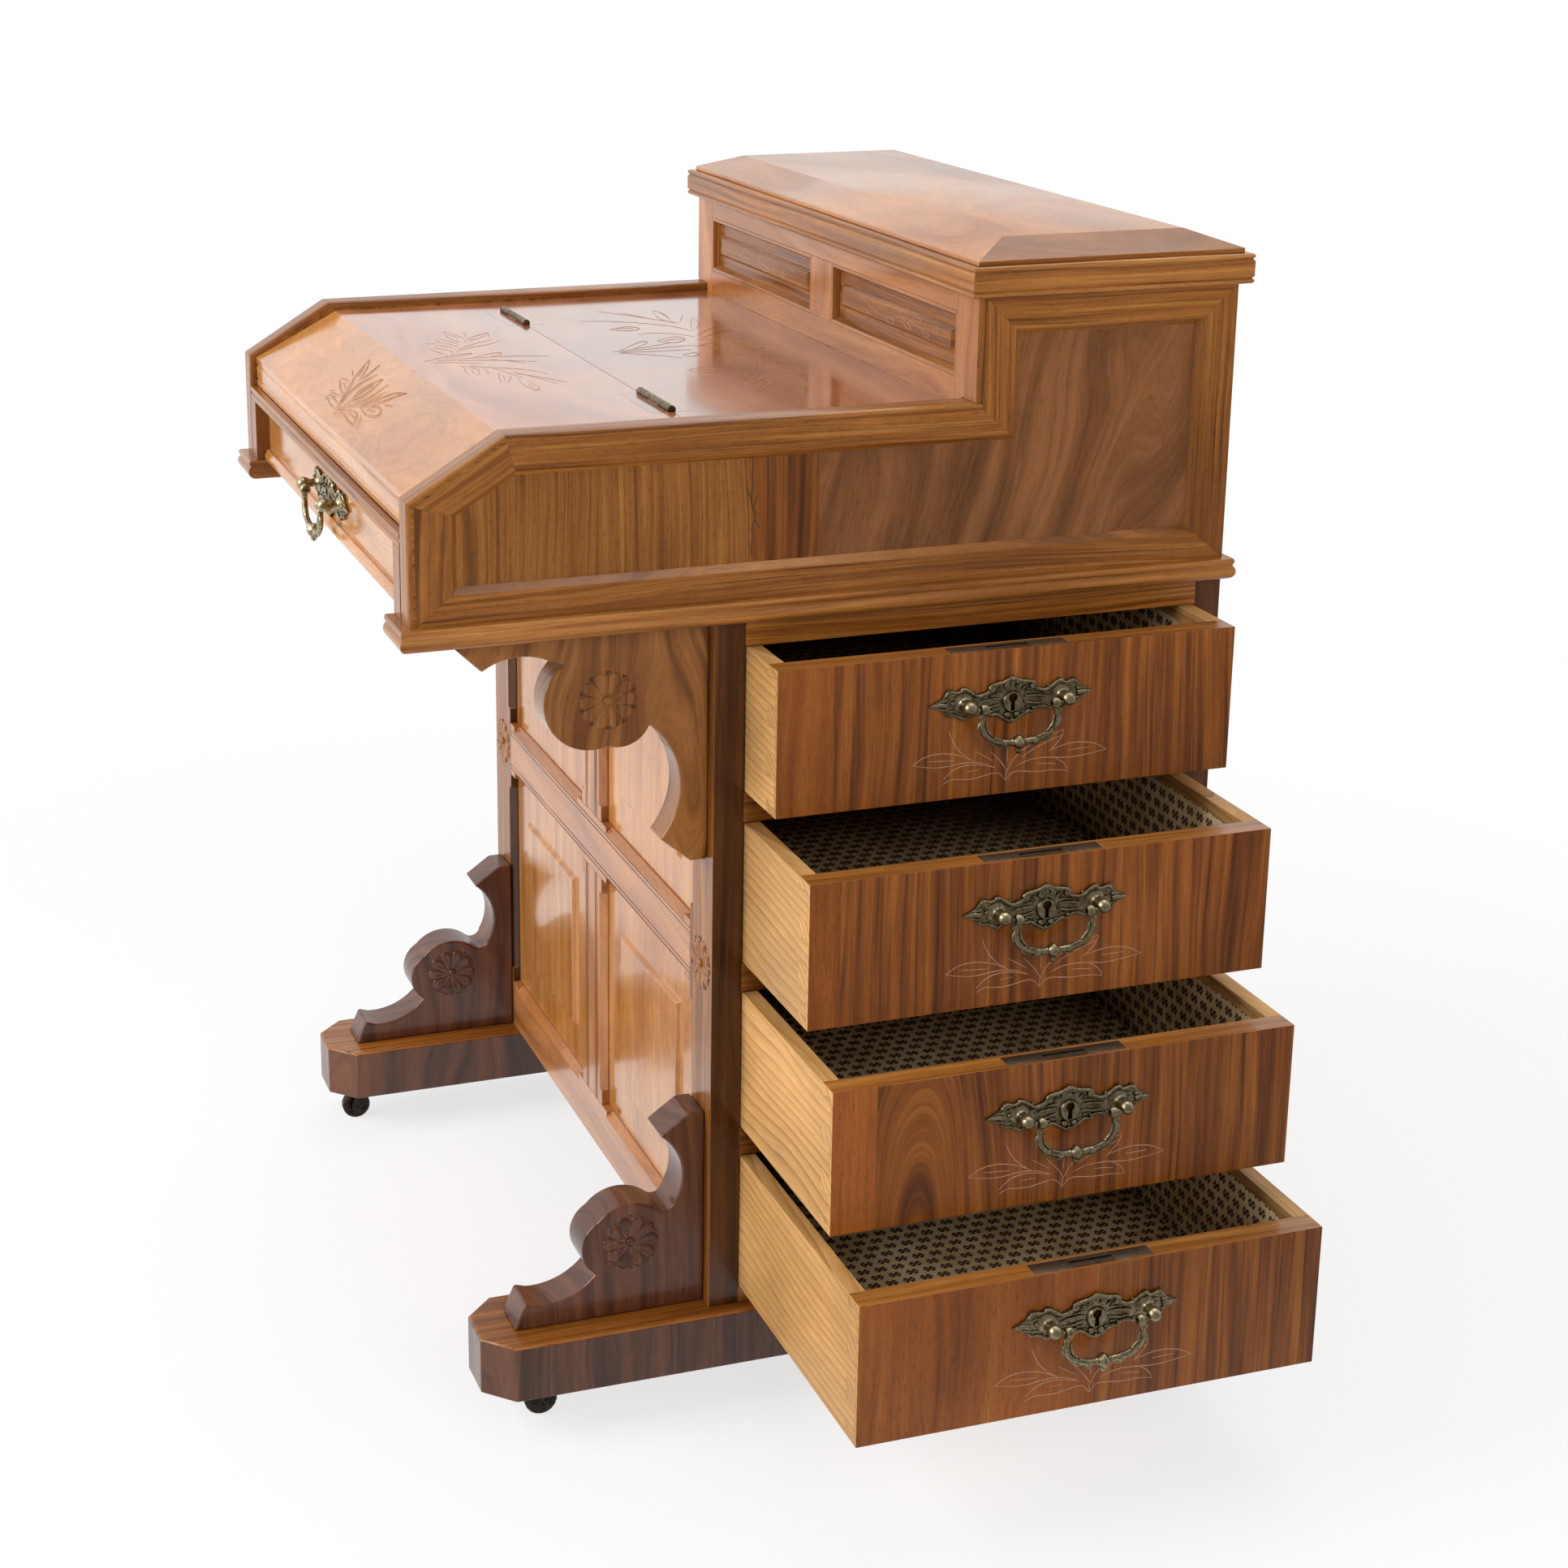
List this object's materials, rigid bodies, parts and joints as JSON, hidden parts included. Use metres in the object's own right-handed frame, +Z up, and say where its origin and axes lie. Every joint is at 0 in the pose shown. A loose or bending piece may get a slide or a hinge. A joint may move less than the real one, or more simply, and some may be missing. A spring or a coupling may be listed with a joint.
{
  "type": "davenport writing desk",
  "caption": "Walnut davenport desk with a sloped hinged writing flap, a lidded stationery gallery, side drawers, scroll brackets and sledge feet on castors.",
  "frame": {"origin": "on the floor, under the middle of the writing case in plan", "axes": "+Z up, +X towards the side with the working drawers, +Y towards the back; the sitter is at -Y"},
  "size_m": [0.9054, 0.6732, 0.926],
  "materials": {
    "walnut_side_veneer": "waxed",
    "walnut_frame": "waxed",
    "case_softwood": "plain, unfinished",
    "walnut_case_front": "waxed",
    "walnut_back": "waxed",
    "walnut_gallery": "waxed",
    "walnut_interior": "waxed",
    "walnut_base_moulding": "waxed",
    "walnut_writing_board": "waxed",
    "hinge_brass": "aged, dull",
    "walnut_posts": "waxed",
    "walnut_pedestal_frame": "waxed",
    "walnut_panels": "waxed",
    "walnut_rails": "waxed",
    "pine_runners": "plain, unfinished",
    "pine_boards": "plain, unfinished",
    "walnut_drawer_front": "waxed",
    "handle_brass": "antique patina",
    "walnut_feet": "waxed",
    "walnut_lower_brackets": "waxed",
    "walnut_upper_brackets": "waxed",
    "castor_iron": "dark, worn",
    "walnut_flap": "waxed",
    "walnut_lid": "waxed",
    "walnut_lid_moulding": "waxed",
    "pine_drawer_box": "plain, unfinished",
    "walnut_front_drawer": "waxed",
    "castor_wheel_iron": "dark, worn"
  },
  "bodies": {
    "desk": {"case_sides": "walnut_side_veneer", "side_frames": "walnut_frame", "case_boards": "case_softwood", "case_front_members": "walnut_case_front", "case_back": "walnut_back", "gallery_front": "walnut_gallery", "stationery_dividers": "walnut_interior", "base_moulding": "walnut_base_moulding", "rear_writing_board": "walnut_writing_board", "hinge_leaves_on_case": "hinge_brass", "pedestal_posts": "walnut_posts", "pedestal_front_frame": "walnut_pedestal_frame", "pedestal_front_panels": "walnut_panels", "drawer_rails": "walnut_rails", "drawer_runners": "pine_runners", "pedestal_boards": "pine_boards", "pedestal_back": "walnut_back", "dummy_drawer_fronts": "walnut_drawer_front", "dummy_handles": "handle_brass", "feet": "walnut_feet", "lower_brackets": "walnut_lower_brackets", "upper_brackets": "walnut_upper_brackets", "castor_plates": "castor_iron"},
    "writing_flap": {"writing_flap": "walnut_flap", "flap_hinge_leaves": "hinge_brass"},
    "lid": {"lid_top": "walnut_lid", "lid_moulding": "walnut_lid_moulding", "lid_hinge_leaves": "hinge_brass"},
    "drawer_1": {"drawer_1_front": "walnut_drawer_front", "drawer_1_box": "pine_drawer_box", "drawer_1_handle": "handle_brass"},
    "drawer_1_bail": {"drawer_1_bail": "handle_brass"},
    "drawer_2": {"drawer_2_front": "walnut_drawer_front", "drawer_2_box": "pine_drawer_box", "drawer_2_handle": "handle_brass"},
    "drawer_2_bail": {"drawer_2_bail": "handle_brass"},
    "drawer_3": {"drawer_3_front": "walnut_drawer_front", "drawer_3_box": "pine_drawer_box", "drawer_3_handle": "handle_brass"},
    "drawer_3_bail": {"drawer_3_bail": "handle_brass"},
    "drawer_4": {"drawer_4_front": "walnut_drawer_front", "drawer_4_box": "pine_drawer_box", "drawer_4_handle": "handle_brass"},
    "drawer_4_bail": {"drawer_4_bail": "handle_brass"},
    "front_drawer": {"front_drawer_front": "walnut_front_drawer", "front_drawer_box": "pine_drawer_box", "front_drawer_handle": "handle_brass"},
    "front_drawer_bail": {"front_drawer_bail": "handle_brass"},
    "dummy_bail_1": {"dummy_bail_1": "handle_brass"},
    "dummy_bail_2": {"dummy_bail_2": "handle_brass"},
    "dummy_bail_3": {"dummy_bail_3": "handle_brass"},
    "dummy_bail_4": {"dummy_bail_4": "handle_brass"},
    "castor_fork_front_right": {"castor_fork_front_right": "castor_iron"},
    "castor_wheel_front_right": {"castor_wheel_front_right": "castor_wheel_iron"},
    "castor_fork_front_left": {"castor_fork_front_left": "castor_iron"},
    "castor_wheel_front_left": {"castor_wheel_front_left": "castor_wheel_iron"},
    "castor_fork_back_right": {"castor_fork_back_right": "castor_iron"},
    "castor_wheel_back_right": {"castor_wheel_back_right": "castor_wheel_iron"},
    "castor_fork_back_left": {"castor_fork_back_left": "castor_iron"},
    "castor_wheel_back_left": {"castor_wheel_back_left": "castor_wheel_iron"}
  },
  "joints": [
    {"name": "flap_hinge", "type": "hinge", "parent": "desk", "child": "writing_flap", "pos_m": [0, -0.1035, 0.8011], "axis": [-1, 0, 0], "range_deg": [0, 165]},
    {"name": "lid_hinge", "type": "hinge", "parent": "desk", "child": "lid", "pos_m": [0, 0.3307, 0.8865], "axis": [-1, 0, 0], "range_deg": [0, 100]},
    {"name": "drawer_1_slide", "type": "slide", "parent": "desk", "child": "drawer_1", "axis": [1, 0, 0], "range_m": [-0.064, 0.316]},
    {"name": "drawer_1_bail_hinge", "type": "hinge", "parent": "drawer_1", "child": "drawer_1_bail", "pos_m": [0.39, 0.1177, 0.593], "axis": [0, -1, 0], "range_deg": [0, 90]},
    {"name": "drawer_2_slide", "type": "slide", "parent": "desk", "child": "drawer_2", "axis": [1, 0, 0], "range_m": [-0.134, 0.246]},
    {"name": "drawer_2_bail_hinge", "type": "hinge", "parent": "drawer_2", "child": "drawer_2_bail", "pos_m": [0.46, 0.1177, 0.4535], "axis": [0, -1, 0], "range_deg": [0, 90]},
    {"name": "drawer_3_slide", "type": "slide", "parent": "desk", "child": "drawer_3", "axis": [1, 0, 0], "range_m": [-0.185, 0.195]},
    {"name": "drawer_3_bail_hinge", "type": "hinge", "parent": "drawer_3", "child": "drawer_3_bail", "pos_m": [0.511, 0.1177, 0.314], "axis": [0, -1, 0], "range_deg": [0, 90]},
    {"name": "drawer_4_slide", "type": "slide", "parent": "desk", "child": "drawer_4", "axis": [1, 0, 0], "range_m": [-0.242, 0.138]},
    {"name": "drawer_4_bail_hinge", "type": "hinge", "parent": "drawer_4", "child": "drawer_4_bail", "pos_m": [0.568, 0.1177, 0.1745], "axis": [0, -1, 0], "range_deg": [0, 90]},
    {"name": "front_drawer_slide", "type": "slide", "parent": "desk", "child": "front_drawer", "axis": [0, -1, 0], "range_m": [0, 0.22]},
    {"name": "front_drawer_bail_hinge", "type": "hinge", "parent": "front_drawer", "child": "front_drawer_bail", "pos_m": [0, -0.3315, 0.6975], "axis": [-1, 0, 0], "range_deg": [0, 90]},
    {"name": "dummy_bail_1_hinge", "type": "hinge", "parent": "desk", "child": "dummy_bail_1", "pos_m": [-0.326, 0.1177, 0.593], "axis": [0, 1, 0], "range_deg": [0, 90]},
    {"name": "dummy_bail_2_hinge", "type": "hinge", "parent": "desk", "child": "dummy_bail_2", "pos_m": [-0.326, 0.1177, 0.4535], "axis": [0, 1, 0], "range_deg": [0, 90]},
    {"name": "dummy_bail_3_hinge", "type": "hinge", "parent": "desk", "child": "dummy_bail_3", "pos_m": [-0.326, 0.1177, 0.314], "axis": [0, 1, 0], "range_deg": [0, 90]},
    {"name": "dummy_bail_4_hinge", "type": "hinge", "parent": "desk", "child": "dummy_bail_4", "pos_m": [-0.326, 0.1177, 0.1745], "axis": [0, 1, 0], "range_deg": [0, 90]},
    {"name": "castor_swivel_front_right", "type": "hinge", "parent": "desk", "child": "castor_fork_front_right", "pos_m": [0.281, -0.2395, 0.0385], "axis": [0, 0, 1], "continuous": true},
    {"name": "castor_roll_front_right", "type": "hinge", "parent": "castor_fork_front_right", "child": "castor_wheel_front_right", "pos_m": [0.281, -0.2275, 0.0135], "axis": [1, 0, 0], "continuous": true},
    {"name": "castor_swivel_front_left", "type": "hinge", "parent": "desk", "child": "castor_fork_front_left", "pos_m": [-0.281, -0.2395, 0.0385], "axis": [0, 0, 1], "continuous": true},
    {"name": "castor_roll_front_left", "type": "hinge", "parent": "castor_fork_front_left", "child": "castor_wheel_front_left", "pos_m": [-0.281, -0.2515, 0.0135], "axis": [1, 0, 0], "continuous": true},
    {"name": "castor_swivel_back_right", "type": "hinge", "parent": "desk", "child": "castor_fork_back_right", "pos_m": [0.281, 0.286, 0.0385], "axis": [0, 0, 1], "continuous": true},
    {"name": "castor_roll_back_right", "type": "hinge", "parent": "castor_fork_back_right", "child": "castor_wheel_back_right", "pos_m": [0.281, 0.298, 0.0135], "axis": [1, 0, 0], "continuous": true},
    {"name": "castor_swivel_back_left", "type": "hinge", "parent": "desk", "child": "castor_fork_back_left", "pos_m": [-0.281, 0.286, 0.0385], "axis": [0, 0, 1], "continuous": true},
    {"name": "castor_roll_back_left", "type": "hinge", "parent": "castor_fork_back_left", "child": "castor_wheel_back_left", "pos_m": [-0.281, 0.274, 0.0135], "axis": [1, 0, 0], "continuous": true}
  ]
}
